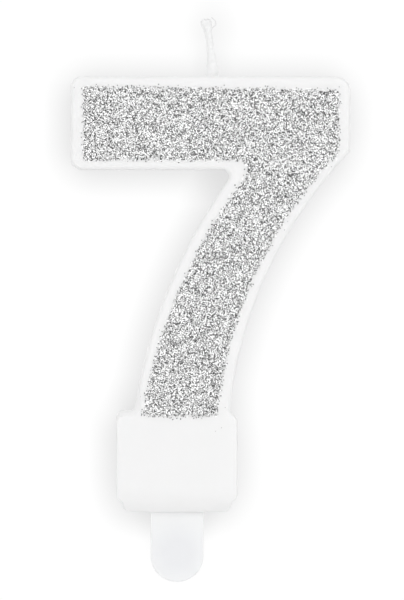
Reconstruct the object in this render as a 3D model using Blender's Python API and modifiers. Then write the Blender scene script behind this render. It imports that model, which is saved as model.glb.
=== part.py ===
"""Number birthday candle in the shape of a 7, on a plastic pick that pushes into its foot.

Metres, +Z up. The origin is the centre of the foot's underside, where the candle rests on the
icing. The glittered front faces -Y, and +X is to its right.
"""

import math

import bmesh
import bpy
from mathutils import Matrix, Vector

MM = 0.001

# Numeral
HEIGHT = 70.0 * MM
DEPTH = 9.0 * MM
BAR_LEFT = -17.0 * MM
BAR_RIGHT = 27.7 * MM
BAR_UNDERSIDE = 55.0 * MM
BAR_SHOULDER = 57.9 * MM  # where the bar's right side turns into the stem
BAR_LEFT_RADIUS = 1.5 * MM
BAR_TOP_RIGHT_RADIUS = 1.9 * MM
BAR_SHOULDER_RADIUS = 0.8 * MM
INNER_RADIUS = 1.1 * MM  # between the bar's underside and the stem
WAX_EDGE = 0.6 * MM  # rounding round the front and the back face
# The stem's two sides are arcs bulging to the left: centre x, centre z, radius
STEM_LEFT = (78.92 * MM, 2.98 * MM, 86.85 * MM)
STEM_RIGHT = (77.56 * MM, 9.78 * MM, 69.42 * MM)

# Foot: a block that runs on from the stem, and a smaller plinth under it
FOOT_HALF_WIDTH = 9.7 * MM
FOOT_LEFT_SHOULDER = 16.2 * MM
FOOT_LEFT_RADIUS = 1.1 * MM
FOOT_LEFT_FILLET = 0.9 * MM
FOOT_RIGHT_SHOULDER = 14.9 * MM  # where the short slope beside the stem ends
FOOT_RIGHT_RADIUS = 1.2 * MM
FOOT_RIGHT_SLOPE = 1.4 * MM  # height of that slope
FOOT_RIGHT_FILLET = 0.7 * MM
FOOT_BOTTOM = 2.0 * MM
FOOT_BOTTOM_RADIUS = 0.6 * MM
PLINTH_HALF_WIDTH = 8.75 * MM
PLINTH_DEPTH = 7.6 * MM
PLINTH_RADIUS = 1.2 * MM
PLINTH_EDGE = 0.4 * MM

# Pick, and the slot in the foot that holds it
PICK_WIDTH = 8.5 * MM
PICK_THICKNESS = 1.4 * MM
PICK_REACH = 11.2 * MM  # below the foot
PICK_GRIP = 13.0 * MM  # inside the foot
PICK_EDGE = 0.25 * MM
NOTCHES = 3
NOTCH_DEPTH = 0.5 * MM
NOTCH_PITCH = 3.0 * MM
SLOT_GAP = 0.2 * MM

# Wick: three plies twisted together, their lower end cast into the bar
WICK_X = 5.54 * MM
WICK_FOOT = 57.5 * MM
WICK_LEAN = 0.5 * MM  # to the left, at the tip
WICK_LEAN_FROM = 72.0 * MM
WICK_LEAN_TO = 79.0 * MM
WICK_SPLAY = 77.2 * MM  # the plies part above this height
CHANNEL_RADIUS = 0.62 * MM
STRANDS = 3
STRAND_RADIUS = 0.18 * MM
TWIST_RADIUS = 0.23 * MM
TWIST_PITCH = 3.5 * MM
POINTS_PER_TURN = 10
COAT_BORE = 0.46 * MM
COAT_PROFILE = ((70.06, 0.95), (70.6, 0.80), (71.8, 0.70), (73.2, 0.59), (75.0, 0.55), (77.0, 0.58))

# Decoration on the front face: glue film, then glitter
GLITTER_TOP = 68.7 * MM
GLITTER_LEFT = -15.4 * MM
GLITTER_RIGHT = 26.2 * MM
GLITTER_SHOULDER = 57.6 * MM
GLITTER_UNDERSIDE = 56.5 * MM
GLITTER_BOTTOM = 15.4 * MM
GLITTER_RADIUS = 0.4 * MM
GLITTER_INNER_RADIUS = 1.6 * MM
GLITTER_LEFT_SIDE = (79.62 * MM, 1.55 * MM, 86.53 * MM)
GLITTER_RIGHT_SIDE = (76.93 * MM, 8.44 * MM, 70.81 * MM)
GLUE_THICKNESS = 0.12 * MM
GLITTER_THICKNESS = 0.25 * MM
FILM_GAP = 0.03 * MM

ARC_STEPS = 6
STEM_STEPS = 12
TINY = 1e-7


def fresh_collections():
    """Clear the scene, and return the collection of the parts and that of the cutters."""
    for obj in list(bpy.data.objects):
        bpy.data.objects.remove(obj)
    made = []
    for name in ("number_candle", "cutters"):
        collection = bpy.data.collections.new(name)
        bpy.context.scene.collection.children.link(collection)
        made.append(collection)
    return made


PARTS, CUTTERS = fresh_collections()


# Outlines


def circle_x(circle, z):
    """X of the left-hand side of a circle at height z."""
    centre_x, centre_z, radius = circle
    return centre_x - math.sqrt(radius**2 - (z - centre_z) ** 2)


def side(circle, z_from, z_to):
    """Points along the left-hand side of a circle, with no rounding of their own."""
    heights = [z_from + (z_to - z_from) * step / STEM_STEPS for step in range(STEM_STEPS + 1)]
    return [(circle_x(circle, z), z, 0.0) for z in heights]


def rounded(corners):
    """The outline through (x, z, radius) corners, with an arc at each corner that has a radius."""
    points = []
    for index, (x, z, radius) in enumerate(corners):
        corner = Vector((x, z))
        if radius == 0.0:
            points.append(corner)
            continue
        back = (Vector(corners[index - 1][:2]) - corner).normalized()
        ahead = (Vector(corners[(index + 1) % len(corners)][:2]) - corner).normalized()
        half = math.acos(back.dot(ahead)) / 2
        centre = corner + (back + ahead).normalized() * radius / math.sin(half)
        spoke = corner + back * radius / math.tan(half) - centre
        turn = math.copysign(math.pi - 2 * half, ahead.x * back.y - ahead.y * back.x)
        for step in range(ARC_STEPS + 1):
            points.append(centre + Matrix.Rotation(turn * step / ARC_STEPS, 2) @ spoke)
    return points


def wax_outline():
    """The 7 and its foot block as one outline, anticlockwise from the block's lower left corner."""
    slope_top = FOOT_RIGHT_SHOULDER + FOOT_RIGHT_SLOPE
    stem_right = circle_x(STEM_RIGHT, slope_top)
    stem_left = circle_x(STEM_LEFT, FOOT_LEFT_SHOULDER)
    corners = [
        (-FOOT_HALF_WIDTH, FOOT_BOTTOM, FOOT_BOTTOM_RADIUS),
        (FOOT_HALF_WIDTH, FOOT_BOTTOM, FOOT_BOTTOM_RADIUS),
        (FOOT_HALF_WIDTH, FOOT_RIGHT_SHOULDER, FOOT_RIGHT_RADIUS),
        (stem_right, slope_top, FOOT_RIGHT_FILLET),
    ]
    corners += side(STEM_RIGHT, slope_top + 2 * MM, BAR_SHOULDER - 1.5 * MM)
    corners += [
        (circle_x(STEM_RIGHT, BAR_SHOULDER), BAR_SHOULDER, BAR_SHOULDER_RADIUS),
        (BAR_RIGHT, HEIGHT, BAR_TOP_RIGHT_RADIUS),
        (BAR_LEFT, HEIGHT, BAR_LEFT_RADIUS),
        (BAR_LEFT, BAR_UNDERSIDE, BAR_LEFT_RADIUS),
        (circle_x(STEM_LEFT, BAR_UNDERSIDE), BAR_UNDERSIDE, INNER_RADIUS),
    ]
    corners += side(STEM_LEFT, BAR_UNDERSIDE - 3 * MM, FOOT_LEFT_SHOULDER + 2 * MM)
    corners += [
        (stem_left, FOOT_LEFT_SHOULDER, FOOT_LEFT_FILLET),
        (-FOOT_HALF_WIDTH, FOOT_LEFT_SHOULDER, FOOT_LEFT_RADIUS),
    ]
    return rounded(corners)


def glitter_outline():
    """The decorated area: the numeral's outline, drawn in, and cut straight above the foot."""
    corners = [
        (circle_x(GLITTER_LEFT_SIDE, GLITTER_BOTTOM), GLITTER_BOTTOM, GLITTER_RADIUS),
        (circle_x(GLITTER_RIGHT_SIDE, GLITTER_BOTTOM), GLITTER_BOTTOM, GLITTER_RADIUS),
    ]
    corners += side(GLITTER_RIGHT_SIDE, GLITTER_BOTTOM + 2 * MM, GLITTER_SHOULDER - 1 * MM)
    corners += [
        (circle_x(GLITTER_RIGHT_SIDE, GLITTER_SHOULDER), GLITTER_SHOULDER, GLITTER_RADIUS),
        (GLITTER_RIGHT, GLITTER_TOP, GLITTER_RADIUS),
        (GLITTER_LEFT, GLITTER_TOP, GLITTER_RADIUS),
        (GLITTER_LEFT, GLITTER_UNDERSIDE, GLITTER_RADIUS),
        (circle_x(GLITTER_LEFT_SIDE, GLITTER_UNDERSIDE), GLITTER_UNDERSIDE, GLITTER_INNER_RADIUS),
    ]
    corners += side(GLITTER_LEFT_SIDE, GLITTER_UNDERSIDE - 4 * MM, GLITTER_BOTTOM + 2 * MM)
    return rounded(corners)


def plinth_outline():
    """The plinth, which runs on a little way inside the block."""
    top = FOOT_BOTTOM + 2 * MM
    return rounded(
        [
            (-PLINTH_HALF_WIDTH, 0.0, PLINTH_RADIUS),
            (PLINTH_HALF_WIDTH, 0.0, PLINTH_RADIUS),
            (PLINTH_HALF_WIDTH, top, 0.0),
            (-PLINTH_HALF_WIDTH, top, 0.0),
        ]
    )


def pick_outline():
    """A strip with a round lower end, and a row of grip notches along each side of its upper half."""
    half = PICK_WIDTH / 2
    corners = [(-half, -PICK_REACH, half * 0.98), (half, -PICK_REACH, half * 0.98)]
    heights = [PICK_GRIP - 2 * MM - NOTCH_PITCH * row for row in range(NOTCHES)]
    right = []
    for z in reversed(heights):
        right.append((half, z - NOTCH_PITCH / 2, 0.0))
        right.append((half - NOTCH_DEPTH, z, 0.0))
        right.append((half, z, 0.0))
    corners += right
    corners += [(half, PICK_GRIP, 0.4 * MM), (-half, PICK_GRIP, 0.4 * MM)]
    corners += [(-x, z, radius) for x, z, radius in reversed(right)]
    return rounded(corners)


# Shapes


def mesh_from(guide, name, collection):
    """Turn a curve object into a mesh object in its place, with its caps welded on."""
    guide_name = guide.name
    bpy.context.view_layer.update()
    evaluated = guide.evaluated_get(bpy.context.evaluated_depsgraph_get())
    mesh = bpy.data.meshes.new_from_object(evaluated)
    mesh.transform(guide.matrix_world)
    bpy.data.objects.remove(bpy.data.objects[guide_name])
    shape = bmesh.new()
    shape.from_mesh(mesh)
    bmesh.ops.remove_doubles(shape, verts=shape.verts, dist=TINY)
    bmesh.ops.recalc_face_normals(shape, faces=shape.faces)
    shape.to_mesh(mesh)
    shape.free()
    obj = bpy.data.objects.new(name, mesh)
    collection.objects.link(obj)
    return obj


def slab(name, outline, depth, collection, middle=0.0):
    """A plate standing in the XZ plane, with its outline filled and middle as its Y centre."""
    curve = bpy.data.curves.new(name + "_outline", "CURVE")
    curve.dimensions = "2D"
    curve.fill_mode = "BOTH"
    curve.extrude = depth / 2
    spline = curve.splines.new("POLY")
    spline.points.add(len(outline) - 1)
    for point, place in zip(spline.points, outline):
        point.co = (place.x, place.y, 0.0, 1.0)
    spline.use_cyclic_u = True
    guide = bpy.data.objects.new(name + "_outline", curve)
    guide.rotation_euler.x = math.pi / 2
    guide.location.y = middle
    collection.objects.link(guide)
    return mesh_from(guide, name, collection)


def tube(name, path, radius, collection, scales=None, resolution=1):
    """A round bar along a path, its radius scaled from point to point if scales are given."""
    curve = bpy.data.curves.new(name + "_path", "CURVE")
    curve.dimensions = "3D"
    curve.bevel_depth = radius
    curve.bevel_resolution = resolution
    curve.use_fill_caps = True
    spline = curve.splines.new("POLY")
    spline.points.add(len(path) - 1)
    for index, (point, place) in enumerate(zip(spline.points, path)):
        point.co = (*place, 1.0)
        point.radius = scales[index] if scales else 1.0
    guide = bpy.data.objects.new(name + "_path", curve)
    collection.objects.link(guide)
    return mesh_from(guide, name, collection)


def box(name, low, high, collection):
    bpy.ops.mesh.primitive_cube_add(size=1.0)
    obj = bpy.context.object
    obj.name = name
    size = [b - a for a, b in zip(low, high)]
    centre = [(a + b) / 2 for a, b in zip(low, high)]
    obj.data.transform(Matrix.Translation(centre) @ Matrix.Diagonal((*size, 1.0)))
    for holder in list(obj.users_collection):
        holder.objects.unlink(obj)
    collection.objects.link(obj)
    return obj


def round_edges(obj, width, segments=3):
    """Round the edges between a slab's faces and its sides, and leave its outline alone."""
    bevel = obj.modifiers.new("edges", "BEVEL")
    bevel.width = width
    bevel.segments = segments
    bevel.limit_method = "ANGLE"
    bevel.angle_limit = math.radians(60)


def combine(obj, operation, others):
    """Join other objects to this one, or cut them from it, and keep them only as helpers."""
    for other in others:
        cut = obj.modifiers.new(other.name, "BOOLEAN")
        cut.operation = operation
        cut.solver = "EXACT"
        cut.object = other
        other.hide_render = True
        other.display_type = "WIRE"


def material(name, colour, roughness, transmission=0.0, metallic=0.0):
    made = bpy.data.materials.new(name)
    made.use_nodes = True
    shader = made.node_tree.nodes["Principled BSDF"]
    shader.inputs["Base Color"].default_value = (*colour, 1.0)
    shader.inputs["Roughness"].default_value = roughness
    shader.inputs["Metallic"].default_value = metallic
    shader.inputs["Transmission Weight"].default_value = transmission
    return made


def finish(obj, look):
    """Give an object its material and smooth shading with crisp corners."""
    obj.data.materials.clear()
    obj.data.materials.append(look)
    obj.data.shade_smooth()
    obj.data.set_sharp_from_angle(angle=math.radians(35))


# Wick


def ease(share):
    """From 0 to 1 with no slope at either end."""
    share = min(max(share, 0.0), 1.0)
    return (1 - math.cos(math.pi * share)) / 2


def wick_axis(z):
    """The middle of the wick at height z, which leans to the left near the tip."""
    lean = WICK_LEAN * ease((z - WICK_LEAN_FROM) / (WICK_LEAN_TO - WICK_LEAN_FROM))
    return Vector((WICK_X - lean, 0.0, z))


def ply_path(index):
    """The middle of one ply: a helix about the wick's axis, up to where the plies part."""
    turns = (WICK_SPLAY - WICK_FOOT) / TWIST_PITCH
    steps = round(turns * POINTS_PER_TURN)
    path = []
    for step in range(steps + 1):
        z = WICK_FOOT + (WICK_SPLAY - WICK_FOOT) * step / steps
        angle = 2 * math.pi * (index / STRANDS + (WICK_SPLAY - z) / TWIST_PITCH)
        path.append(wick_axis(z) + TWIST_RADIUS * Vector((math.cos(angle), math.sin(angle), 0)))
    return path


# How each frayed ply goes on from where it parts: x, y and z from there
FRAYED_ENDS = (
    ((0.15, 0.0, 0.7), (0.25, 0.0, 1.3), (0.65, 0.0, 1.65), (1.05, 0.0, 1.3), (0.95, 0.0, 0.85)),
    ((-0.1, 0.1, 0.6), (-0.1, 0.15, 1.2), (0.05, 0.1, 1.8), (0.1, 0.1, 2.1)),
    ((-0.2, -0.05, 0.6), (-0.55, -0.1, 1.1), (-0.95, -0.1, 1.6), (-1.15, -0.1, 1.85)),
)


def make_wick():
    cotton = material("cotton", (0.93, 0.92, 0.90), 0.8)
    for index, ends in enumerate(FRAYED_ENDS):
        path = ply_path(index)
        parting = path[-1]
        path += [parting + Vector(end) * MM for end in ends]
        strand = tube(f"wick_strand_{index + 1}", path, STRAND_RADIUS, PARTS)
        finish(strand, cotton)


def make_wick_coat():
    """The wax on the wick's free length, which widens into a small cone at its base."""
    heights = [z * MM for z, _ in COAT_PROFILE]
    widest = COAT_PROFILE[0][1]
    scales = [radius / widest for _, radius in COAT_PROFILE]
    path = [wick_axis(z) for z in heights]
    coat = tube("wick_wax_coat", path, widest * MM, PARTS, scales, resolution=4)
    past_ends = [heights[0] - 1 * MM] + heights[1:-1] + [heights[-1] + 1 * MM]
    bore = tube("wick_bore", [wick_axis(z) for z in past_ends], COAT_BORE, CUTTERS, resolution=4)
    combine(coat, "DIFFERENCE", [bore])
    finish(coat, material("wick_wax", (0.93, 0.93, 0.92), 0.35))


# Wax, decoration and pick


def make_wax_body():
    body = slab("wax_body", wax_outline(), DEPTH, PARTS)
    round_edges(body, WAX_EDGE)
    plinth = slab("foot_plinth", plinth_outline(), PLINTH_DEPTH, CUTTERS)
    round_edges(plinth, PLINTH_EDGE, segments=2)
    half_slot = PICK_WIDTH / 2 + SLOT_GAP
    half_gap = PICK_THICKNESS / 2 + SLOT_GAP
    slot_top = PICK_GRIP + 2 * SLOT_GAP
    slot = box("pick_slot", (-half_slot, -half_gap, -1 * MM), (half_slot, half_gap, slot_top), CUTTERS)
    channel_path = [(WICK_X, 0.0, WICK_FOOT - 0.5 * MM), (WICK_X, 0.0, HEIGHT + 2 * MM)]
    channel = tube("wick_channel", channel_path, CHANNEL_RADIUS, CUTTERS, resolution=3)
    combine(body, "UNION", [plinth])
    combine(body, "DIFFERENCE", [slot, channel])
    finish(body, material("wax", (0.90, 0.90, 0.89), 0.4))


def make_decoration():
    """The glue film on the front face, and the glitter in front of it."""
    outline = glitter_outline()
    glue_middle = -DEPTH / 2 - FILM_GAP - GLUE_THICKNESS / 2
    glue = slab("glitter_adhesive", outline, GLUE_THICKNESS, PARTS, glue_middle)
    finish(glue, material("glue", (0.9, 0.9, 0.9), 0.2, transmission=0.8))
    glitter_middle = glue_middle - GLUE_THICKNESS / 2 - FILM_GAP - GLITTER_THICKNESS / 2
    glitter = slab("glitter_layer", outline, GLITTER_THICKNESS, PARTS, glitter_middle)
    finish(glitter, material("silver_glitter", (0.60, 0.60, 0.60), 0.3, metallic=0.9))


def make_pick():
    pick = slab("pick", pick_outline(), PICK_THICKNESS, PARTS)
    round_edges(pick, PICK_EDGE, segments=2)
    finish(pick, material("pick_plastic", (0.88, 0.90, 0.91), 0.3, transmission=0.15))


make_wax_body()
make_wick()
make_wick_coat()
make_decoration()
make_pick()
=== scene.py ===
"""Looks of the number birthday candle: satin white wax, silver glitter, waxed wick and plastic pick.

Metres, +Z up, glittered front towards -Y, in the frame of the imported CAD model. Everything is built
square to the front: a flat piece is an outline in X and Z, with a front and a back surface in Y.
"""

import math

import bmesh
import bpy
import numpy as np
from mathutils import Matrix, Vector, noise
from mathutils.geometry import delaunay_2d_cdt


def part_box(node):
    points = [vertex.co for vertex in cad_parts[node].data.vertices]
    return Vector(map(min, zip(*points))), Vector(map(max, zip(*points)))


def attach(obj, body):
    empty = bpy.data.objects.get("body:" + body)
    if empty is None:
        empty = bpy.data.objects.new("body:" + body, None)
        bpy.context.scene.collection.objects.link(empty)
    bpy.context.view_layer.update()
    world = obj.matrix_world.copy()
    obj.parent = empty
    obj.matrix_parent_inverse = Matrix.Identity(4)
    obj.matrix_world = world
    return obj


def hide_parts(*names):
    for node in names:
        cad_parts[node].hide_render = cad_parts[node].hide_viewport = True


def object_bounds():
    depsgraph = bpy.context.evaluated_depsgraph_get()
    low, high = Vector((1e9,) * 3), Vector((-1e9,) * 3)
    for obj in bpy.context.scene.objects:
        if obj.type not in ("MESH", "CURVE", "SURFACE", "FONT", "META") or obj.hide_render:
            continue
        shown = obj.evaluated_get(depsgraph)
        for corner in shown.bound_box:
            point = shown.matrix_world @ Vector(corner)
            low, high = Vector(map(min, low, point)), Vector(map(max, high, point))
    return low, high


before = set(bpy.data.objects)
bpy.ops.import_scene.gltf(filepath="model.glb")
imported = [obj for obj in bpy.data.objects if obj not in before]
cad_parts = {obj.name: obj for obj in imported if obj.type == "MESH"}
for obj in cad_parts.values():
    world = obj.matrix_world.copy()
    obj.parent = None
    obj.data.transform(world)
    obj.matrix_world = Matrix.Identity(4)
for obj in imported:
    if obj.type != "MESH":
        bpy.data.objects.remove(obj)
cad_low, cad_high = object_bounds()

MM = 0.001
SEED = 7

WAX_LOW, WAX_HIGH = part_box("wax_body")
PICK_LOW, PICK_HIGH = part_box("pick")
GLITTER_LOW, GLITTER_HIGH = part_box("glitter_layer")
FRONT = WAX_LOW.y
BACK = WAX_HIGH.y

# The stem's two sides, and those of the glittered area, are arcs: centre x, centre z, radius
STEM_LEFT = (78.92 * MM, 2.98 * MM, 86.85 * MM)
STEM_RIGHT = (78.36 * MM, 9.17 * MM, 70.20 * MM)
GLITTER_LEFT_SIDE = (79.62 * MM, 1.55 * MM, 86.41 * MM)
GLITTER_RIGHT_SIDE = (76.93 * MM, 8.44 * MM, 70.81 * MM)

BAR_UNDERSIDE = 55.0 * MM
BAR_SHOULDER = 57.9 * MM
FOOT_HALF_WIDTH = 9.75 * MM
FOOT_BOTTOM = 2.3 * MM  # where the foot slopes in to the narrower plinth below it
PLINTH_TOP = 1.4 * MM
FOOT_LEFT_SHOULDER = 16.35 * MM
FOOT_RIGHT_SHOULDER = 14.9 * MM
FOOT_RIGHT_SLOPE = 1.4 * MM
PLINTH_HALF_WIDTH = 8.75 * MM

# The softened chamfer round the wax's front face: its width on the numeral, the foot and its shoulder
NUMERAL_EDGE = 0.42 * MM
FOOT_EDGE = 0.18 * MM
SHOULDER_EDGE = 0.95 * MM
EDGE_STEEPNESS = 1.25  # the chamfer's depth, as a multiple of its width
EDGE_SOFTNESS = 1.25  # 1 is a flat chamfer, 2 is a quarter circle
WAX_DRAFT = 0.05 * MM  # how much the mould narrows from its parting line to each face
SEAM_PROUD = 0.02 * MM
SEAM_SHARE = 0.016  # half the seam's width, as a share of the wax's depth
NUMERAL_PROUD = 0.10 * MM  # how far the numeral's face stands out from the foot's
PROUD_FROM = 13.6 * MM
PROUD_RISE = 1.8 * MM
CORNER_DIP = 0.2 * MM  # at the foot's two upper corners
CORNER_REACH = 3 * MM
FOOT_TUCK = 1.7 * MM  # how far the foot's faces curve in at their lower end
TUCK_HEIGHT = 3.8 * MM

SLOT_GAP = 0.2 * MM  # round the pick, inside the foot
SLOT_TOP = PICK_HIGH.z + 2 * SLOT_GAP
WICK_X = 5.54 * MM
WICK_FOOT = 57.5 * MM
CHANNEL_RADIUS = 0.62 * MM

GLITTER_LEFT = GLITTER_LOW.x + 0.25 * MM
GLITTER_RIGHT = GLITTER_HIGH.x - 0.06 * MM
GLITTER_TOP_LEFT = 68.45 * MM  # the glitter's upper edge slopes down a little to the right
GLITTER_TOP_RIGHT = 67.9 * MM
GLITTER_UNDERSIDE = 56.38 * MM
GLITTER_SHOULDER = 57.6 * MM
GLITTER_BOTTOM = GLITTER_LOW.z - 0.1 * MM
GLITTER_CORNER = 0.4 * MM
GLUE_CORNER = 1.1 * MM
GLUE_DEPTH = 0.12 * MM
GLUE_SUNK = 0.05 * MM  # into the wax
GLUE_INSET = 0.5 * MM  # the glue ends inside the glitter, whose outermost flakes lie on bare wax

FLAKE_SIDES = 4
FLAKE_PITCH = 0.16 * MM
FLAKE_SIZE = (0.083 * MM, 0.122 * MM)  # from a flake's middle to its corners
FLAKE_HEIGHT = (0.13 * MM, 0.26 * MM)  # in front of the wax, where the glue is at its full depth
FLAKE_ROOT = 0.13 * MM  # from a flake's face to its point in the glue
FLAKE_LEAN = 16  # degrees
STEEPEST_LEAN = 40  # degrees
EDGE_FADE = (0.2 * MM, 0.24 * MM)  # depth at which half of the flakes are left out, and its spread
EDGE_LIFT = 0.3  # the outermost flakes' height, as a share of FLAKE_HEIGHT
LIFT_REACH = 0.7 * MM
STRAY_PITCH = 0.6 * MM
STRAY_SIZE = (0.05 * MM, 0.08 * MM)
STRAY_HEIGHT = (0.02 * MM, 0.04 * MM)
STRAY_SHARE = 0.022

# The dipped wick from its base to its flared end, in millimetres: height, middle in x, half width
WICK_PROFILE = (
    (69.8, 5.60, 1.16),
    (70.2, 5.62, 1.08),
    (70.8, 5.67, 1.00),
    (71.6, 5.66, 0.92),
    (72.6, 5.61, 0.79),
    (73.6, 5.47, 0.65),
    (74.6, 5.34, 0.60),
    (75.6, 5.24, 0.60),
    (76.4, 5.14, 0.60),
    (77.0, 5.03, 0.61),
    (77.5, 4.92, 0.67),
    (78.0, 4.82, 0.77),
    (78.6, 4.70, 0.88),
    (78.9, 4.66, 0.90),
    (79.1, 4.66, 0.83),
    (79.2, 4.67, 0.70),
)
STRANDS = 3
STRAND_RADIUS = 0.19 * MM
TWIST_RADIUS = 0.22 * MM
TWIST_PITCH = 3.5 * MM
FRAY_START = 77.0 * MM
FIBRES = 6  # in each strand's frayed end
FRAY_ENDS = (3.8 * MM, 5.6 * MM)  # in x, from the left lobe to the right
FRAY_TOP = 79.2 * MM

# The one long fibre, which curls out to the right, in millimetres
LOOP = (
    (5.3, 0.0, 77.2),
    (5.55, 0.1, 77.75),
    (5.95, 0.15, 78.12),
    (6.24, 0.1, 78.5),
    (6.1, 0.0, 79.0),
    (5.55, 0.0, 79.55),
)

FLOOR_DROP = 12 * MM  # below the pick's tip

STEP = 0.45 * MM  # longest side of an outline's segments
EDGE_STEPS = 6
SIDE_STEPS = 5
ARC_STEPS = 10


# Outlines in X and Z


def circle_x(circle, z):
    """X of the left-hand side of a circle at height z."""
    centre_x, centre_z, radius = circle
    return centre_x - math.sqrt(radius**2 - (z - centre_z) ** 2)


def side(circle, z_from, z_to):
    """Points along the left-hand side of a circle, with no rounding of their own."""
    steps = math.ceil(abs(z_to - z_from) / STEP)
    heights = [z_from + (z_to - z_from) * step / steps for step in range(steps + 1)]
    return [(circle_x(circle, z), z, 0.0) for z in heights]


def rounded(corners):
    """The outline through (x, z, radius) corners, with arcs, and no segment longer than STEP."""
    points = []
    for index, (x, z, radius) in enumerate(corners):
        corner = Vector((x, z))
        if radius == 0.0:
            points.append(corner)
            continue
        back = (Vector(corners[index - 1][:2]) - corner).normalized()
        ahead = (Vector(corners[(index + 1) % len(corners)][:2]) - corner).normalized()
        half = math.acos(back.dot(ahead)) / 2
        centre = corner + (back + ahead).normalized() * radius / math.sin(half)
        spoke = corner + back * radius / math.tan(half) - centre
        turn = math.copysign(math.pi - 2 * half, ahead.x * back.y - ahead.y * back.x)
        for step in range(ARC_STEPS + 1):
            points.append(centre + Matrix.Rotation(turn * step / ARC_STEPS, 2) @ spoke)
    dense = []
    for here, after in zip(points, points[1:] + points[:1]):
        parts = max(1, math.ceil((after - here).length / STEP))
        dense += [here.lerp(after, part / parts) for part in range(parts)]
    return np.array(dense)


def outward(outline):
    """Unit normals of an anticlockwise outline, one for each point."""
    along = np.roll(outline, -1, axis=0) - outline
    along /= np.linalg.norm(along, axis=1, keepdims=True)
    along = along + np.roll(along, 1, axis=0)
    along /= np.linalg.norm(along, axis=1, keepdims=True)
    return np.column_stack([along[:, 1], -along[:, 0]])


def depth_inside(points, outline):
    """Distance of each point from the outline, positive inside it."""
    start, end = outline, np.roll(outline, -1, axis=0)
    along = end - start
    found = np.empty(len(points))
    for low in range(0, len(points), 2048):
        some = points[low : low + 2048, None, :]
        share = ((some - start) * along).sum(2) / (along**2).sum(1)
        nearest = start + along * np.clip(share, 0, 1)[..., None]
        distance = np.linalg.norm(some - nearest, axis=2).min(1)
        above = start[:, 1] > some[..., 1]
        crosses = above != (end[:, 1] > some[..., 1])
        rise = np.where(crosses, along[:, 1], 1.0)
        crossing = start[:, 0] + along[:, 0] * (some[..., 1] - start[:, 1]) / rise
        inside = (crosses & (some[..., 0] < crossing)).sum(1) % 2 == 1
        found[low : low + 2048] = np.where(inside, distance, -distance)
    return found


def lattice(low, high, pitch, spread, rng):
    """Points of a triangular lattice over a rectangle, each moved by up to spread of the pitch."""
    rows = math.ceil((high[1] - low[1]) / (pitch * math.sqrt(0.75)))
    columns = math.ceil((high[0] - low[0]) / pitch)
    row, column = np.mgrid[0:rows, 0:columns]
    places = np.column_stack(
        [
            low[0] + pitch * (column + 0.5 * (row % 2)).ravel(),
            low[1] + pitch * math.sqrt(0.75) * row.ravel(),
        ]
    )
    return places + rng.uniform(-spread, spread, places.shape) * pitch


def wax_outline():
    """Plinth, foot block, stem and bar as one outline, anticlockwise from the plinth's lower left."""
    slope_top = FOOT_RIGHT_SHOULDER + FOOT_RIGHT_SLOPE
    bottom, top = WAX_LOW.z, WAX_HIGH.z
    left, right = WAX_LOW.x - 0.12 * MM, WAX_HIGH.x + 0.2 * MM
    corners = [
        (-PLINTH_HALF_WIDTH, bottom, 1.25 * MM),
        (PLINTH_HALF_WIDTH, bottom, 1.25 * MM),
        (PLINTH_HALF_WIDTH, PLINTH_TOP, 0.3 * MM),
        (FOOT_HALF_WIDTH, FOOT_BOTTOM, 0.7 * MM),
        (FOOT_HALF_WIDTH, FOOT_RIGHT_SHOULDER, 1.2 * MM),
        (circle_x(STEM_RIGHT, slope_top), slope_top, 0.7 * MM),
    ]
    corners += side(STEM_RIGHT, slope_top + 1 * MM, BAR_SHOULDER - 1 * MM)
    corners += [
        (circle_x(STEM_RIGHT, BAR_SHOULDER), BAR_SHOULDER, 0.6 * MM),
        (right, top, 2.3 * MM),
        (left, top, 1.8 * MM),
        (left, BAR_UNDERSIDE, 1.8 * MM),
        (circle_x(STEM_LEFT, BAR_UNDERSIDE), BAR_UNDERSIDE, 1.1 * MM),
    ]
    corners += side(STEM_LEFT, BAR_UNDERSIDE - 2 * MM, FOOT_LEFT_SHOULDER + 1.5 * MM)
    corners += [
        (circle_x(STEM_LEFT, FOOT_LEFT_SHOULDER), FOOT_LEFT_SHOULDER, 0.9 * MM),
        (-FOOT_HALF_WIDTH, FOOT_LEFT_SHOULDER, 1.1 * MM),
        (-FOOT_HALF_WIDTH, FOOT_BOTTOM, 0.7 * MM),
        (-PLINTH_HALF_WIDTH, PLINTH_TOP, 0.3 * MM),
    ]
    return rounded(corners)


def glitter_outline(corner):
    """The decorated area: the numeral's outline, drawn in, and cut straight above the foot."""
    bottom, under, shoulder = GLITTER_BOTTOM, GLITTER_UNDERSIDE, GLITTER_SHOULDER
    corners = [
        (circle_x(GLITTER_LEFT_SIDE, bottom), bottom, corner),
        (circle_x(GLITTER_RIGHT_SIDE, bottom), bottom, corner),
    ]
    corners += side(GLITTER_RIGHT_SIDE, bottom + 2 * MM, shoulder - 1 * MM)
    corners += [
        (circle_x(GLITTER_RIGHT_SIDE, shoulder), shoulder, corner),
        (GLITTER_RIGHT, GLITTER_TOP_RIGHT, corner),
        (GLITTER_LEFT, GLITTER_TOP_LEFT, corner),
        (GLITTER_LEFT, under, corner),
        (circle_x(GLITTER_LEFT_SIDE, under), under, 1.6 * MM),
    ]
    corners += side(GLITTER_LEFT_SIDE, under - 3 * MM, bottom + 2 * MM)
    return rounded(corners)


# Surfaces


def ease(share):
    """From 0 to 1 with no slope at either end."""
    share = min(max(share, 0.0), 1.0)
    return (1 - math.cos(math.pi * share)) / 2


def waves(x, z, size, depth, seed=0.0):
    """Soft unevenness of a cast surface."""
    return depth * noise.noise(Vector((x / size, z / size, seed)))


def foot_tuck(z):
    """How far the foot's front and back curve in at height z."""
    return FOOT_TUCK * (1 - min(z / TUCK_HEIGHT, 1.0)) ** 2.2


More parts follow.
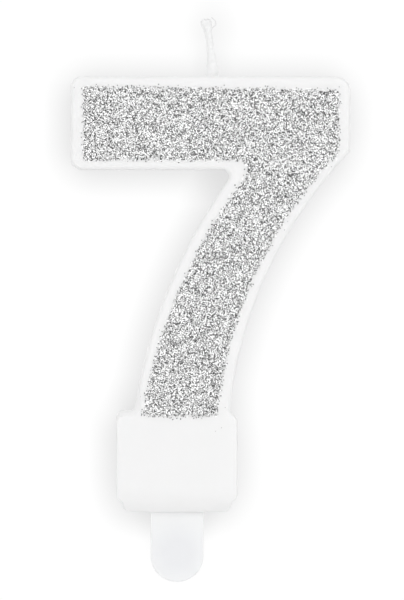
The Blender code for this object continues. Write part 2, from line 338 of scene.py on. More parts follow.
def wax_front(x, z):
    """Y of the wax's front: the numeral stands a little proud, and the foot curves back below."""
    y = FRONT + NUMERAL_PROUD * (1 - ease((z - PROUD_FROM) / PROUD_RISE))
    y += foot_tuck(z)
    for corner_x in (-FOOT_HALF_WIDTH, FOOT_HALF_WIDTH):
        near = Vector((x - corner_x, z - FOOT_RIGHT_SHOULDER)).length / CORNER_REACH
        y += CORNER_DIP * math.exp(-(near**2))
    return y + waves(x, z, 9 * MM, 0.03 * MM) + waves(x, z, 2.6 * MM, 0.008 * MM, 3.1)


def wax_back(x, z):
    """Y of the wax's back, which is plain, and curves in at the foot like the front."""
    unevenness = waves(x, z, 9 * MM, 0.03 * MM, 7.7) + waves(x, z, 2.6 * MM, 0.01 * MM, 5.2)
    return BACK - foot_tuck(z) + unevenness


def edge_width(x, z):
    """Width of the front face's chamfer: narrow round the foot, and wide along its left shoulder."""
    width = FOOT_EDGE + (NUMERAL_EDGE - FOOT_EDGE) * ease((z - 14 * MM) / (4 * MM))
    left_of_stem = ease((circle_x(STEM_LEFT, z) + 0.5 * MM - x) / (0.5 * MM))
    on_shoulder = ease((z - FOOT_LEFT_SHOULDER + 1.5 * MM) / (1.2 * MM))
    up_stem = ease((z - FOOT_LEFT_SHOULDER) / (5 * MM))
    return width + (SHOULDER_EDGE - width) * left_of_stem * on_shoulder * (1 - up_stem)


def wax_profile(outline):
    """(inset, share of the depth) from the front face's rim, over the mould's seam, to the back's."""
    depth = BACK - FRONT
    front_edge = np.array([edge_width(x, z) for x, z in outline])
    back_edge = np.minimum(front_edge, NUMERAL_EDGE)
    halves = []
    for edge in (front_edge, back_edge):
        half = []
        for step in range(EDGE_STEPS + 1):
            angle = math.pi / 2 * step / EDGE_STEPS
            inset = SEAM_PROUD + WAX_DRAFT + edge * (1 - math.sin(angle) ** (2 / EDGE_SOFTNESS))
            drop = edge * EDGE_STEEPNESS * (1 - math.cos(angle) ** (2 / EDGE_SOFTNESS))
            half.append((inset, drop / depth))
        start = half[-1][1]
        for step in range(1, SIDE_STEPS + 1):
            share = step / SIDE_STEPS
            inset = SEAM_PROUD + WAX_DRAFT * (1 - share)
            half.append((inset, start + (0.5 - SEAM_SHARE - start) * share))
        halves.append(half)
    front_half, back_half = halves
    return front_half + [(0.0, 0.5)] + [(inset, 1 - share) for inset, share in reversed(back_half)]


def edge_profile(radius, depth, steps=4):
    """(inset, share of the depth) round the two rounded edges of a thin plate."""
    rows = []
    for step in range(steps + 1):
        angle = math.pi / 2 * step / steps
        rows.append((radius * (1 - math.sin(angle)), radius * (1 - math.cos(angle)) / depth))
    return rows + [(inset, 1 - share) for inset, share in reversed(rows)]


def face_fill(rim, pitch, rng):
    """Inner points and triangles that fill a rim, evenly spaced: the rim's points come first."""
    inner = lattice(rim.min(0), rim.max(0), pitch, 0.12, rng)
    inner = inner[depth_inside(inner, rim) > 0.55 * pitch]
    points = [Vector(point) / MM for point in np.vstack([rim, inner])]
    made, _, faces, sources, _, _ = delaunay_2d_cdt(points, [], [list(range(len(rim)))], 1, 1e-6)
    assert all(source == [index] for index, source in enumerate(sources))
    return inner, faces


def band_faces(rings, count):
    """Quads that join each ring of count points to the next one."""
    faces = []
    for ring in range(rings - 1):
        low, high = ring * count, (ring + 1) * count
        for here in range(count):
            after = (here + 1) % count
            faces.append((low + here, low + after, high + after, high + here))
    return faces


def plate(name, outline, profile, front, back, pitch):
    """A closed plate: rings of the outline from front rim to back rim, and two filled faces.

    The profile's insets and shares are single numbers, or have one for each point of the outline.
    """
    rng = np.random.default_rng(SEED)
    normals = outward(outline)
    count = len(outline)
    rings = [outline - normals * np.reshape(inset, (-1, 1)) for inset, _ in profile]
    points = []
    for places, (_, shares) in zip(rings, profile):
        for (x, z), share in zip(places, np.broadcast_to(shares, count)):
            points.append((x, front(x, z) * (1 - share) + back(x, z) * share, z))
    faces = band_faces(len(rings), count)
    for rim, first, surface in ((rings[0], 0, front), (rings[-1], (len(rings) - 1) * count, back)):
        inner, filled = face_fill(rim, pitch, rng)
        start = len(points) - count
        points += [(x, surface(x, z), z) for x, z in inner]
        for face in filled:
            faces.append([first + i if i < count else start + i for i in face])
    return mesh_object(name, points, faces)


def mesh_object(name, points, faces, sharp=35):
    """A new object from points and faces, facing out and shaded smooth except at sharp edges."""
    mesh = bpy.data.meshes.new(name)
    mesh.from_pydata(points, [], faces)
    shape = bmesh.new()
    shape.from_mesh(mesh)
    bmesh.ops.recalc_face_normals(shape, faces=shape.faces)
    shape.to_mesh(mesh)
    shape.free()
    obj = bpy.data.objects.new(name, mesh)
    bpy.context.scene.collection.objects.link(obj)
    mesh.shade_smooth()
    mesh.set_sharp_from_angle(angle=math.radians(sharp))
    return obj


def tube(name, path, radii, sides=10):
    """A closed round bar along a path, with its own radius at each point and rounded ends."""
    path = [Vector(place) for place in path]
    ahead = [(b - a).normalized() for a, b in zip(path, path[1:])]
    tangents = [ahead[0]] + [(a + b).normalized() for a, b in zip(ahead, ahead[1:])] + [ahead[-1]]
    reach = tangents[0].orthogonal().normalized()
    points = []
    for place, tangent, radius in zip(path, tangents, radii):
        reach = (reach - tangent * reach.dot(tangent)).normalized()
        across = tangent.cross(reach)
        for step in range(sides):
            angle = 2 * math.pi * step / sides
            points.append(place + (math.cos(angle) * reach + math.sin(angle) * across) * radius)
    faces = band_faces(len(path), sides)
    for end, first in ((0, 0), (-1, (len(path) - 1) * sides)):
        points.append(path[end] + tangents[end] * radii[end] * (0.6 if end else -0.6))
        tip = len(points) - 1
        faces += [(first + here, first + (here + 1) % sides, tip) for here in range(sides)]
    return mesh_object(name, points, faces, sharp=60)


def combine(obj, operation, others):
    """Join other objects to this one, or cut them from it, and delete them."""
    for other in others:
        cut = obj.modifiers.new(other.name, "BOOLEAN")
        cut.operation = operation
        cut.object = other
    apply_modifiers(obj)
    for other in others:
        bpy.data.objects.remove(other)


def apply_modifiers(obj):
    """Swap the object's mesh for its evaluated one."""
    graph = bpy.context.evaluated_depsgraph_get()
    mesh = bpy.data.meshes.new_from_object(obj.evaluated_get(graph))
    obj.modifiers.clear()
    obj.data = mesh


def box(name, low, high):
    """A rectangular cutter."""
    x, y, z = zip(low, high)
    points = [(x[i], y[j], z[k]) for i in (0, 1) for j in (0, 1) for k in (0, 1)]
    faces = [(0, 1, 3, 2), (4, 6, 7, 5), (0, 4, 5, 1), (2, 3, 7, 6), (0, 2, 6, 4), (1, 5, 7, 3)]
    return mesh_object(name, points, faces)


def add_piece(obj, look, body, slot, *nodes):
    """Give a piece its material and its moving body, and hide the CAD nodes that it stands for."""
    obj.data.materials.clear()
    obj.data.materials.append(look)
    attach(obj, body)
    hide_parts(*nodes)
    return obj


# Materials


def add_node(tree, kind, settings=None, **inputs):
    """A shader node with its settings and inputs, where an input may be another node's output."""
    node = tree.nodes.new("ShaderNode" + kind)
    for key, value in (settings or {}).items():
        setattr(node, key, value)
    for key, value in inputs.items():
        socket = node.inputs[key.replace("_", " ")]
        if isinstance(value, bpy.types.NodeSocket):
            tree.links.new(value, socket)
        else:
            socket.default_value = value
    return node


def new_look(name, **constants):
    """A material, its node tree and its shader, with the shader's constant values set."""
    look = bpy.data.materials.new(name)
    look.use_nodes = True
    tree = look.node_tree
    shader = tree.nodes["Principled BSDF"]
    for key, value in constants.items():
        shader.inputs[key.replace("_", " ")].default_value = value
    return look, tree, shader


def object_place(tree):
    """Each point's place in the object, in metres."""
    return add_node(tree, "TexCoord").outputs["Object"]


def noise_of(tree, size, detail=2.0, roughness=0.5):
    """Noise from 0 to 1 over the object, with blotches of this size."""
    texture = add_node(tree, "TexNoise", Scale=1 / size, Detail=detail, Roughness=roughness)
    tree.links.new(object_place(tree), texture.inputs["Vector"])
    return texture.outputs[0]


def between(tree, value, low, high, start=0.0, end=1.0):
    """The value, mapped so that start gives low and end gives high."""
    ranged = add_node(tree, "MapRange", From_Min=start, From_Max=end, To_Min=low, To_Max=high)
    tree.links.new(value, ranged.inputs["Value"])
    return ranged.outputs["Result"]


def math_of(tree, operation, first, second):
    """The result of an operation on two values."""
    node = add_node(tree, "Math", {"operation": operation})
    tree.links.new(first, node.inputs[0])
    tree.links.new(second, node.inputs[1])
    return node.outputs[0]


def blend_of(tree, share, first, second):
    """A colour between two others."""
    mixed = add_node(tree, "Mix", {"data_type": "RGBA"})
    tree.links.new(share, mixed.inputs["Factor"])
    for name, colour in (("A", first), ("B", second)):
        socket = next(s for s in mixed.inputs if s.name == name and s.type == "RGBA")
        socket.default_value = (*colour, 1.0)
    return next(s for s in mixed.outputs if s.type == "RGBA")


def reach_of(tree, middle, radii):
    """How far out in an ellipse seen from the front: 0 at its middle and 1 on its edge."""
    spot = add_node(tree, "Mapping", Vector=object_place(tree))
    spot.inputs["Location"].default_value = (-middle[0] / radii[0], 0, -middle[1] / radii[1])
    spot.inputs["Scale"].default_value = (1 / radii[0], 0, 1 / radii[1])
    length = add_node(tree, "VectorMath", {"operation": "LENGTH"}, Vector=spot.outputs[0])
    return length.outputs["Value"]


def bump_of(tree, height, distance, strength=1.0):
    """A normal bent by a height."""
    return add_node(tree, "Bump", Height=height, Distance=distance, Strength=strength).outputs["Normal"]


def wax_look():
    """Satin paraffin: faint clouding, fine grain, and light that sinks in a little way."""
    look, tree, shader = new_look(
        "white_wax",
        IOR=1.43,
        Subsurface_Weight=0.35,
        Subsurface_Radius=(1.0, 0.98, 0.96),
        Subsurface_Scale=0.8 * MM,
    )
    link = tree.links.new
    cloud = noise_of(tree, 4 * MM, 3.0)
    white = blend_of(tree, cloud, (0.918, 0.918, 0.918), (0.934, 0.934, 0.934))
    link(white, shader.inputs["Base Color"])
    link(between(tree, noise_of(tree, 1.3 * MM, 4.0), 0.40, 0.56), shader.inputs["Roughness"])
    grain = noise_of(tree, 0.35 * MM, 4.0, 0.6)
    link(bump_of(tree, grain, 0.01 * MM, 0.5), shader.inputs["Normal"])
    return look


def wick_wax_look():
    """Thinner wax over cotton: patchy, a little glossier, and whitest at the foot, partly where the wax
    pools and partly painted light that lifts the bar's shadow on the wick's foot.
    """
    look, tree, shader = new_look(
        "wick_wax",
        IOR=1.43,
        Subsurface_Weight=0.15,
        Subsurface_Radius=(1.0, 1.0, 1.0),
        Subsurface_Scale=0.2 * MM,
    )
    link = tree.links.new
    cloud = noise_of(tree, 0.7 * MM, 3.0)
    height = add_node(tree, "SeparateXYZ", Vector=object_place(tree)).outputs["Z"]
    # Whiter towards the foot: partly wax that pools there, and partly painted light against the shadow
    # that the bar's front edge casts on the wick's foot.
    pooled_and_painted_light = between(tree, height, 0.0, 1.0, 71.6 * MM, 70.2 * MM)
    whiteness = math_of(tree, "MAXIMUM", cloud, pooled_and_painted_light)
    white = blend_of(tree, whiteness, (0.855, 0.857, 0.857), (0.98, 0.982, 0.982))
    link(white, shader.inputs["Base Color"])
    link(between(tree, cloud, 0.30, 0.48), shader.inputs["Roughness"])
    grain = noise_of(tree, 0.3 * MM, 3.0, 0.5)
    link(bump_of(tree, grain, 0.012 * MM, 0.5), shader.inputs["Normal"])
    return look


def cotton_look():
    """Bleached cotton yarn, matt, with fine fibres along it."""
    look, tree, shader = new_look("wick_cotton", Sheen_Weight=0.15)
    link = tree.links.new
    cloud = noise_of(tree, 0.25 * MM, 3.0)
    link(blend_of(tree, cloud, (0.80, 0.80, 0.80), (0.88, 0.88, 0.88)), shader.inputs["Base Color"])
    link(between(tree, cloud, 0.7, 0.9), shader.inputs["Roughness"])
    fibre = noise_of(tree, 0.05 * MM, 2.0)
    link(bump_of(tree, fibre, 0.01 * MM, 0.7), shader.inputs["Normal"])
    return look


def pick_look():
    """Milky polypropylene with painted light: its colour is lighter at its edges and next to the wax,
    for light through the thin plastic and to lift the shade under the foot, and a little cooler and
    darker in between.
    """
    look, tree, shader = new_look(
        "pick_plastic",
        IOR=1.49,
        Subsurface_Weight=0.3,
        Subsurface_Radius=(0.95, 1.0, 1.0),
        Subsurface_Scale=1 * MM,
    )
    link = tree.links.new
    # Painted light: the colour gets lighter towards the pick's edges and its top by the wax, in place
    # of light through the plastic and against the shade that the foot casts.
    reach = reach_of(tree, (0, -6.6 * MM), (2.1 * PICK_HIGH.x, 8.2 * MM))
    rim = between(tree, reach, 0.0, 0.92, 0.25, 1.0)
    colour = blend_of(tree, rim, (0.855, 0.861, 0.877), (0.99, 1.0, 0.995))
    link(colour, shader.inputs["Base Color"])
    link(between(tree, noise_of(tree, 1.0 * MM, 3.0), 0.30, 0.42), shader.inputs["Roughness"])
    grain = noise_of(tree, 0.2 * MM, 3.0)
    link(bump_of(tree, grain, 0.006 * MM, 0.5), shader.inputs["Normal"])
    return look


def flake_look():
    """Aluminium flakes with a fine ripple from being cut. Their tilts mirror the world, and each
    flake's dark or bright base colour adds painted reflection on top.
    """
    look, tree, shader = new_look("silver_flakes", Metallic=0.92)
    link = tree.links.new
    # Painted reflection: each flake's tone makes it dark or bright, in place of the dark and bright
    # surroundings that silver flakes mirror.
    painted_light_tone = add_node(tree, "Attribute", {"attribute_name": "painted_light_tone"}).outputs["Fac"]
    link(blend_of(tree, painted_light_tone, (0.06, 0.06, 0.06), (1.0, 1.0, 1.0)), shader.inputs["Base Color"])
    link(between(tree, painted_light_tone, 0.38, 0.30), shader.inputs["Roughness"])
    ripple = noise_of(tree, 0.06 * MM, 1.0)
    link(bump_of(tree, ripple, 0.002 * MM, 0.3), shader.inputs["Normal"])
    return look


def bed_look():
    """Clear glue full of smaller glitter, seen between the flakes, in dark and bright cells: painted
    shade in the gaps between the flakes, and painted reflection of the smaller glitter.
    """
    look, tree, shader = new_look("glitter_glue", Coat_Weight=0.3, Coat_Roughness=0.2)
    link = tree.links.new
    cells = add_node(tree, "TexVoronoi", Vector=object_place(tree), Scale=1 / (0.11 * MM))
    mixed = add_node(tree, "SeparateColor", Color=cells.outputs["Color"]).outputs["Red"]
    # Painted light: the dark cells stand in for shade in the gaps between the flakes, and the bright
    # ones for glints of the smaller glitter.
    painted_light_tone = between(tree, mixed, 0.0, 1.0, 0.25, 0.7)
    link(blend_of(tree, painted_light_tone, (0.10, 0.10, 0.10), (0.95, 0.95, 0.95)), shader.inputs["Base Color"])
    link(between(tree, painted_light_tone, 0.5, 0.8), shader.inputs["Metallic"])
    link(between(tree, painted_light_tone, 0.5, 0.32), shader.inputs["Roughness"])
    link(bump_of(tree, cells.outputs["Distance"], 0.03 * MM, 0.6), shader.inputs["Normal"])
    return look


# Pieces


def make_wax():
    """The casting, with a slot for the pick in its foot and a channel for the wick in its bar."""
    outline = wax_outline()
    wax = plate("wax_numeral", outline, wax_profile(outline), wax_front, wax_back, 0.75 * MM)
    half_slot = PICK_HIGH.x + SLOT_GAP
    half_gap = PICK_HIGH.y + SLOT_GAP
    slot = box("slot", (-half_slot, -half_gap, -1 * MM), (half_slot, half_gap, SLOT_TOP))
    channel_ends = [(WICK_X, 0, WICK_FOOT - 0.5 * MM), (WICK_X, 0, WAX_HIGH.z + 1 * MM)]
    channel = tube("channel", channel_ends, [CHANNEL_RADIUS] * 2, sides=24)
    combine(wax, "DIFFERENCE", [slot, channel])
    add_piece(wax, wax_look(), "candle", "wax", "wax_body")


def glue_front(x, z):
    """Y of the glue film's lumpy front."""
    lumps = waves(x, z, 0.9 * MM, 0.03 * MM, 1.7) + waves(x, z, 0.35 * MM, 0.02 * MM, 4.3)
    return wax_front(x, z) - GLUE_DEPTH - lumps


def glue_back(x, z):
    """Y of the glue film's back, just inside the wax."""
    return wax_front(x, z) + GLUE_SUNK


def make_glue_bed():
    """The glue film, whose edge wanders a little inside the glitter's."""
    outline = glitter_outline(GLUE_CORNER)
    normals = outward(outline)
    wander = [waves(x, z, 0.8 * MM, 0.16 * MM, 9.0) - GLUE_INSET for x, z in outline]
    outline = outline + normals * np.array(wander)[:, None]
    profile = edge_profile(0.07 * MM, GLUE_DEPTH + GLUE_SUNK, 2)
    bed = plate("glue_bed", outline, profile, glue_front, glue_back, 0.4 * MM)
    add_piece(bed, bed_look(), "candle", "glue", "glitter_adhesive")


def flakes(name, places, rng, size, height, lean):
    """Four-sided flakes that lie at random angles, each with a point behind it that holds it.

    The size and the height are ranges, and the lean is the spread of the tilts in degrees.
    """
    count = len(places)
    radius = rng.uniform(*size, count)
    turn = rng.uniform(0, math.pi / 2, count)
    tilt = np.tan(np.radians(np.minimum(np.abs(rng.normal(0, lean, count)), STEEPEST_LEAN)))
    way = rng.uniform(0, 2 * math.pi, count)
    raised = rng.uniform(*height, count)
    # Painted reflection: a flake's tone stands in for the dark and bright surroundings that it would
    # mirror.
    painted_light_tone = rng.beta(0.3, 0.27, count)  # most are either dark or bright
    base = np.array([wax_front(x, z) for x, z in places]) - raised
    points = np.empty((count, FLAKE_SIDES + 1, 3))
    for corner in range(FLAKE_SIDES):
        angle = turn + 2 * math.pi * corner / FLAKE_SIDES
        across, up = radius * np.cos(angle), radius * np.sin(angle)
        points[:, corner, 0] = places[:, 0] + across
        points[:, corner, 1] = base - tilt * (across * np.cos(way) + up * np.sin(way))
        points[:, corner, 2] = places[:, 1] + up
    points[:, FLAKE_SIDES] = np.column_stack([places[:, 0], base + FLAKE_ROOT, places[:, 1]])
    faces = []
    for flake in range(count):
        first = flake * (FLAKE_SIDES + 1)
        faces.append(tuple(range(first, first + FLAKE_SIDES)))
        for corner in range(FLAKE_SIDES):
            faces.append((first + (corner + 1) % FLAKE_SIDES, first + corner, first + FLAKE_SIDES))
    mesh = bpy.data.meshes.new(name)
    mesh.from_pydata(points.reshape(-1, 3), [], faces)
    painted_light_tones = mesh.attributes.new("painted_light_tone", "FLOAT", "POINT")
    painted_light_tones.data.foreach_set("value", np.repeat(painted_light_tone, FLAKE_SIDES + 1))
    obj = bpy.data.objects.new(name, mesh)
    bpy.context.scene.collection.objects.link(obj)
    return obj


def make_glitter():
    """Flakes over the bar and the stem, thinner and lower at the edge, and a few strays on the wax."""
    rng = np.random.default_rng(SEED)
    look = flake_look()
    outline = glitter_outline(GLITTER_CORNER)
    margin = 0.3 * MM
    places = lattice(outline.min(0) - margin, outline.max(0) + margin, FLAKE_PITCH, 0.38, rng)
    depth = depth_inside(places, outline)
    kept = depth > rng.normal(*EDGE_FADE, len(places))
    places = places[kept]
    lift = EDGE_LIFT + (1 - EDGE_LIFT) * np.clip(depth[kept] / LIFT_REACH, 0, 1)
    zone_tops = (GLITTER_BOTTOM + GLITTER_UNDERSIDE) / 2, GLITTER_UNDERSIDE
    zones = np.searchsorted(zone_tops, places[:, 1])
    for zone, name in enumerate(("glitter_lower_stem", "glitter_upper_stem", "glitter_bar")):
        here = zones == zone
        height = [end * lift[here] for end in FLAKE_HEIGHT]
        piece = flakes(name, places[here], rng, FLAKE_SIZE, height, FLAKE_LEAN)
        add_piece(piece, look, "candle", "silver_glitter", "glitter_layer")
    spots = stray_spots(outline, rng)
    strays = flakes("stray_glitter", spots, rng, STRAY_SIZE, STRAY_HEIGHT, 6)
    add_piece(strays, look, "candle", "silver_glitter", "glitter_layer")


def stray_spots(outline, rng):
    """Places of single flakes on the wax's face, fewer with the distance from the glitter."""
    wax = wax_outline()
    spots = lattice(wax.min(0), wax.max(0), STRAY_PITCH, 0.5, rng)
    beyond = -depth_inside(spots, outline)
    on_face = depth_inside(spots, wax) > 1.2 * NUMERAL_EDGE
    fallen = rng.random(len(spots)) < STRAY_SHARE * np.exp(-beyond / (1.2 * MM))
    return spots[on_face & (beyond > 0.15 * MM) & fallen]


def wick_section(z):
    """Middle and half width of the dipped wick at height z, on a smooth curve through the profile."""
    heights = [row[0] * MM for row in WICK_PROFILE]
    z = max(z, heights[0])
    index = min(sum(h <= z for h in heights) - 1, len(heights) - 2)
    share = (z - heights[index]) / (heights[index + 1] - heights[index])
    rows = [WICK_PROFILE[min(max(index + step, 0), len(heights) - 1)] for step in (-1, 0, 1, 2)]
    middle, half = spline(share, *(np.array(row[1:]) for row in rows))
    return middle * MM, half * MM


def spline(share, a, b, c, d):
    """The smooth curve from b to c that a and d steer."""
    return (
        b
        + share * (c - a) / 2
        + share**2 * (2 * a - 5 * b + 4 * c - d) / 2
        + share**3 * (3 * b - a - 3 * c + d) / 2
    )


def smooth_path(stops, steps=6):
    """A denser path on a smooth curve through the stops."""
    stops = np.array([2 * stops[0] - stops[1], *stops, 2 * stops[-1] - stops[-2]])
    path = []
    for index in range(1, len(stops) - 2):
        path += [spline(step / steps, *stops[index - 1 : index + 3]) for step in range(steps)]
    return path + [stops[-2]]


def strand_place(strand, z):
    """Where a strand's middle is at height z, in its twist round the wick's."""
    angle = 2 * math.pi * (z / TWIST_PITCH + strand / STRANDS)
    middle = wick_section(z)[0]
    return np.array((middle + TWIST_RADIUS * math.cos(angle), TWIST_RADIUS * math.sin(angle), z))


def strand_mesh(strand, rng):
    """One strand from the wick's foot up, and the fibres that it frays into."""
    name = f"wick_ply_{strand + 1}"
    heights = np.arange(WICK_FOOT, FRAY_START + 1 * MM, 0.3 * MM)
    slubs = [noise.noise(Vector((0, strand, z / (0.5 * MM)))) for z in heights]
    radii = [STRAND_RADIUS * (1 + 0.08 * slub) for slub in slubs]
    parts = [tube(name, [strand_place(strand, z) for z in heights], radii, sides=12)]
    order = sorted(range(STRANDS), key=lambda other: strand_place(other, FRAY_START)[0])
    for fibre in range(FIBRES):
        angle = 2 * math.pi * fibre / FIBRES
        around = np.array((math.cos(angle), math.sin(angle), 0))
        start = strand_place(strand, FRAY_START) + 0.1 * MM * around
        share = (order.index(strand) + (fibre + rng.uniform(0, 1)) / FIBRES) / STRANDS
        across = FRAY_ENDS[0] + share * (FRAY_ENDS[1] - FRAY_ENDS[0])
        end = np.array((across, rng.uniform(-0.4, 0.4) * MM, FRAY_TOP + rng.uniform(-0.4, 0.15) * MM))
        bend = start + (end - start) * (0.25, 0.5, 0.5) + rng.uniform(-0.08, 0.08, 3) * MM
        path = smooth_path([start, bend, end])
        parts.append(tube("fibre", path, np.linspace(0.11, 0.09, len(path)) * MM, sides=7))
    if order.index(strand) == STRANDS - 1:
        path = smooth_path([np.array(stop) * MM for stop in LOOP])
        parts.append(tube("fibre", path, [0.085 * MM] * len(path), sides=8))
    return joined(parts)


def joined(parts):
    """One object with the meshes of all of them, which goes on as the first."""
    shape = bmesh.new()
    for part in parts:
        shape.from_mesh(part.data)
    shape.to_mesh(parts[0].data)
    shape.free()
    for part in parts[1:]:
        bpy.data.objects.remove(part)
    return parts[0]


def wick_coat():
    """Wax round the strands: it follows their twist, flattens where it flares, and ends unevenly."""
    bottom, top = WICK_PROFILE[0][0] * MM, WICK_PROFILE[-1][0] * MM
    rings, sides = 81, 40
    points = []
    for ring in range(rings):
        height = ring / (rings - 1)
        z = bottom + (top - bottom) * height
        middle, half = wick_section(z)
        flat = 1 - 0.42 * ease((z - 76.5 * MM) / (2.5 * MM))
        for step in range(sides):
            angle = 2 * math.pi * step / sides
            x, y = math.cos(angle), math.sin(angle)
            lobe = 0.04 * math.cos(STRANDS * (angle - 2 * math.pi * z / TWIST_PITCH))
            grain = 0.05 * noise.noise(Vector((x * 1.3, y * 1.3, z / (1.1 * MM))))
            reach = half * (1 + lobe + grain)
            lift = 0.5 * MM * ease(height * 2 - 1) * noise.noise(Vector((x * 2, y * 2, 5.0)))
            points.append((middle + reach * x, reach * flat * y, z + lift))
    faces = band_faces(rings, sides) + [tuple(range(sides))]
    dip = len(points)
    points.append((wick_section(top)[0], 0, top - 0.2 * MM))
    rim = dip - sides
    faces += [(rim + here, rim + (here + 1) % sides, dip) for here in range(sides)]
    return mesh_object("wick_dipped_wax", points, faces)


def make_wick():
    """Three twisted cotton strands, frayed at the top, in a coat of wax that spreads at its foot."""
    rng = np.random.default_rng(SEED)
    cotton = cotton_look()
    for strand in range(STRANDS):
        add_piece(strand_mesh(strand, rng), cotton, "candle", "cotton", f"wick_strand_{strand + 1}")
    add_piece(wick_coat(), wick_wax_look(), "candle", "wick_wax", "wick_wax_coat")


def pick_outline():
    """A strip with a round lower end and grip notches up its hidden half."""
    half, grip = PICK_HIGH.x, PICK_HIGH.z
    notch_depth, notch_pitch = 0.5 * MM, 3.0 * MM
    corners = [(-half, PICK_LOW.z, half * 0.98), (half, PICK_LOW.z, half * 0.98)]
    right = []
    for row in (2, 1, 0):
        z = grip - 2 * MM - notch_pitch * row
        right.append((half, z - notch_pitch / 2, 0.3 * MM))
        right.append((half - notch_depth, z, 0.1 * MM))
        right.append((half, z, 0.3 * MM))
    corners += right
    corners += [(half, grip, 0.4 * MM), (-half, grip, 0.4 * MM)]
    corners += [(-x, z, radius) for x, z, radius in reversed(right)]
    return rounded(corners)


def pick_front(x, z):
    """Y of the pick's front, which thins a little towards the tip."""
    taper = 0.12 * MM * min(max(z / PICK_LOW.z, 0.0), 1.0)
    return PICK_LOW.y + taper + waves(x, z, 3 * MM, 0.01 * MM, 2.0)


def pick_back(x, z):
    """Y of the pick's back, which mirrors its front."""
    return -pick_front(x, z)


def make_pick():
    """The plastic pick, which slides out of the foot."""
    profile = edge_profile(0.16 * MM, PICK_HIGH.y - PICK_LOW.y, 5)
    pick = plate("plastic_pick", pick_outline(), profile, pick_front, pick_back, 0.6 * MM)
    add_piece(pick, pick_look(), "pick", "pick_plastic", "pick")


# Stage


def make_camera():
    """A long lens square on to the front, so that the candle stands as in a catalogue."""
    distance = 1200 * MM
    view_height = 96.33 * MM
    middle_x, middle_z = 4.01 * MM, 34.1 * MM
    plane = FRONT + 2.5 * MM
    data = bpy.data.cameras.new("camera")
    data.sensor_width = 36.0
    data.lens = data.sensor_width * distance / view_height
    data.clip_start = 10 * MM
    camera = bpy.data.objects.new("camera", data)
    camera.location = (middle_x, plane - distance, middle_z)
    camera.rotation_euler = (math.pi / 2, 0, 0)
    bpy.context.scene.collection.objects.link(camera)
    bpy.context.scene.camera = camera


def make_world():
    """A white tent, brightest in front and to the right, with gaps in it for the glitter to mirror."""
    world = bpy.data.worlds.new("studio")
    bpy.context.scene.world = world
    world.use_nodes = True
    tree = world.node_tree
    direction = add_node(tree, "TexCoord").outputs["Generated"]
    toward = add_node(tree, "VectorMath", {"operation": "DOT_PRODUCT"})
    tree.links.new(direction, toward.inputs[0])
    toward.inputs[1].default_value = Vector((0.2, -0.93, 0.3)).normalized()
    soft = between(tree, toward.outputs["Value"], 0.60, 0.93, -1.0, 1.0)
    lights = add_node(tree, "TexNoise", Vector=direction, Scale=6.0, Detail=1.0).outputs[0]
    gaps = between(tree, lights, 0.32, 2.5, 0.41, 0.54)
    ahead = between(tree, toward.outputs["Value"], 0.75, 1.0, -0.4, 0.5)
    gaps = math_of(tree, "MULTIPLY", gaps, ahead)
    path = add_node(tree, "LightPath")
    mirrored = add_node(tree, "Mix", {"data_type": "FLOAT"})
    tree.links.new(path.outputs["Is Glossy Ray"], mirrored.inputs["Factor"])
    tree.links.new(soft, mirrored.inputs["A"])
    tree.links.new(gaps, mirrored.inputs["B"])
    seen = add_node(tree, "Mix", {"data_type": "FLOAT"})
    tree.links.new(path.outputs["Is Camera Ray"], seen.inputs["Factor"])
    tree.links.new(mirrored.outputs["Result"], seen.inputs["A"])
    seen.inputs["B"].default_value = 1.05
    background = tree.nodes["Background"]
    background.inputs["Color"].default_value = (1, 1, 1, 1)
    tree.links.new(seen.outputs["Result"], background.inputs["Strength"])


def make_front_fill():
    """A low, wide, soft lamp in front that also reaches the pick, close under the foot."""
    lamp = bpy.data.lights.new("front_fill", "AREA")
    lamp.shape = "RECTANGLE"
    lamp.size, lamp.size_y = 240 * MM, 48 * MM
    lamp.energy = 0.132
    fill = bpy.data.objects.new("front_fill", lamp)
    fill.location = (30 * MM, FRONT - 300 * MM, 3 * MM)
    fill.rotation_euler = (math.pi / 2, 0, 0)
    fill.visible_camera = False
    fill.visible_glossy = False
    bpy.context.scene.collection.objects.link(fill)


def stage_sheet(name, points, look):
    """A flat four-sided sheet that belongs to the stage."""
    mesh = bpy.data.meshes.new(name)
    mesh.from_pydata(points, [], [(0, 1, 2, 3)])
    mesh.materials.append(look)
    sheet = bpy.data.objects.new(name, mesh)
    bpy.context.scene.collection.objects.link(sheet)
    return sheet


def make_floor():
    """A pale floor, below the picture's lower edge."""
    look, tree, shader = new_look("pale_floor", Roughness=0.6)
    pale = blend_of(tree, noise_of(tree, 60 * MM), (0.94, 0.94, 0.94), (0.96, 0.96, 0.96))
    tree.links.new(pale, shader.inputs["Base Color"])
    z, half = cad_low.z - FLOOR_DROP, 3.0
    points = [(-half, -half, z), (half, -half, z), (half, half, z), (-half, half, z)]
    stage_sheet("floor", points, look)


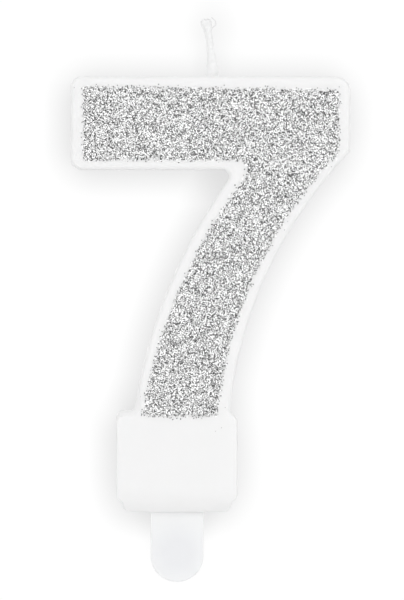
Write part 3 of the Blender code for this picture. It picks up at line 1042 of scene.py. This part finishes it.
def make_backdrop():
    """A white card just behind the candle, glowing, with the candle's soft shadow painted on it; it is
    clear from behind.
    """
    look = bpy.data.materials.new("white_card")
    look.use_nodes = True
    tree = look.node_tree
    tree.nodes.remove(tree.nodes["Principled BSDF"])
    # Painted shadow: ambient occlusion, leaned a little up and to the right, dims the card's glow near
    # the candle.
    shade = add_node(tree, "AmbientOcclusion", {"samples": 16}, Distance=6 * MM)
    light = tuple(Vector((0.16, -1.0, 0.10)).normalized())
    lean = add_node(tree, "CombineXYZ", X=light[0], Y=light[1], Z=light[2]).outputs[0]
    tree.links.new(lean, shade.inputs["Normal"])
    painted_shadow_level = between(tree, shade.outputs["AO"], 0.74, 1.02, 0.3, 0.97)
    # Two painted shadow patches, a faint one round the wick and one under the foot, darken the glow in
    # soft ellipses.
    painted_shadow_behind_wick = (WICK_X, 77.5 * MM), (6.5 * MM, 8.5 * MM), 0.915
    painted_shadow_under_foot = (-1.5 * MM, 0.0), (13.5 * MM, 7.5 * MM), 0.94
    for middle, radii, darkest in (painted_shadow_behind_wick, painted_shadow_under_foot):
        reach = reach_of(tree, middle, radii)
        smooth = {"interpolation_type": "SMOOTHSTEP"}
        painted_shadow_patch = add_node(tree, "MapRange", smooth, Value=reach, To_Min=darkest).outputs["Result"]
        painted_shadow_level = math_of(tree, "MULTIPLY", painted_shadow_level, painted_shadow_patch)
    glowing_card = add_node(tree, "Emission", Color=(1, 1, 1, 1), Strength=painted_shadow_level).outputs[0]
    clear = add_node(tree, "BsdfTransparent").outputs[0]
    behind = add_node(tree, "NewGeometry").outputs["Backfacing"]
    chosen = add_node(tree, "MixShader", Fac=behind)
    tree.links.new(glowing_card, chosen.inputs[1])
    tree.links.new(clear, chosen.inputs[2])
    tree.links.new(chosen.outputs[0], tree.nodes["Material Output"].inputs["Surface"])
    y, half = BACK + 1.5 * MM, 150 * MM
    low, high = cad_low.z - FLOOR_DROP, 200 * MM
    points = [(-half, y, low), (half, y, low), (half, y, high), (-half, y, high)]
    card = stage_sheet("white_card", points, look)
    card.visible_diffuse = False
    card.visible_glossy = False
    card.visible_transmission = False
    card.visible_shadow = False


bpy.context.scene.view_settings.view_transform = "Standard"
make_camera()
make_world()
make_front_fill()
make_floor()
make_backdrop()
make_wax()
make_glue_bed()
make_glitter()
make_wick()
make_pick()
